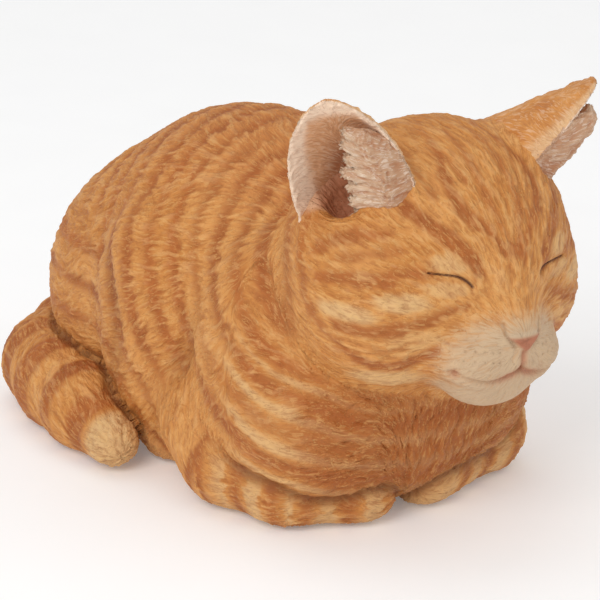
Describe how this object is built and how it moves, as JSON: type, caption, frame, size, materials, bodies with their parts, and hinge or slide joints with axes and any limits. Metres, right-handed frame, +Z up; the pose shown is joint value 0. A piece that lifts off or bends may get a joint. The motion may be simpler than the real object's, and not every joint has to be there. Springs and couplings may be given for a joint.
{
  "type": "cat figurine",
  "caption": "Painted matt figurine of a tabby cat asleep with its paws tucked under it and its tail round its side, hollow cast in luted parts, with a stopper and felt underneath.",
  "frame": {"origin": "on the rest plane, the underside of the felt, on the body's middle line and under its back", "axes": "+Z up; the cat faces -Y, its right side and the tail's tip are towards -X; its length runs along Y"},
  "size_m": [0.1103, 0.2065, 0.138],
  "materials": {
    "body_paint": "matt, hand-painted",
    "head_paint": "matt, hand-painted",
    "tail_paint": "matt, hand-painted",
    "foreleg_right_paint": "matt, hand-painted",
    "foreleg_left_paint": "matt, hand-painted",
    "ear_right_paint": "matt, hand-painted",
    "ear_left_paint": "matt, hand-painted",
    "ear_tuft_right_paint": "matt, hand-painted",
    "ear_tuft_left_paint": "matt, hand-painted",
    "stopper_rubber": "matt black",
    "felt": "black felt"
  },
  "bodies": {
    "root": {"body_casting": "body_paint", "head_casting": "head_paint", "tail_casting": "tail_paint", "foreleg_right": "foreleg_right_paint", "foreleg_left": "foreleg_left_paint", "ear_right": "ear_right_paint", "ear_left": "ear_left_paint", "ear_tuft_right": "ear_tuft_right_paint", "ear_tuft_left": "ear_tuft_left_paint", "pour_hole_stopper": "stopper_rubber", "base_felt": "felt"}
  },
  "joints": []
}
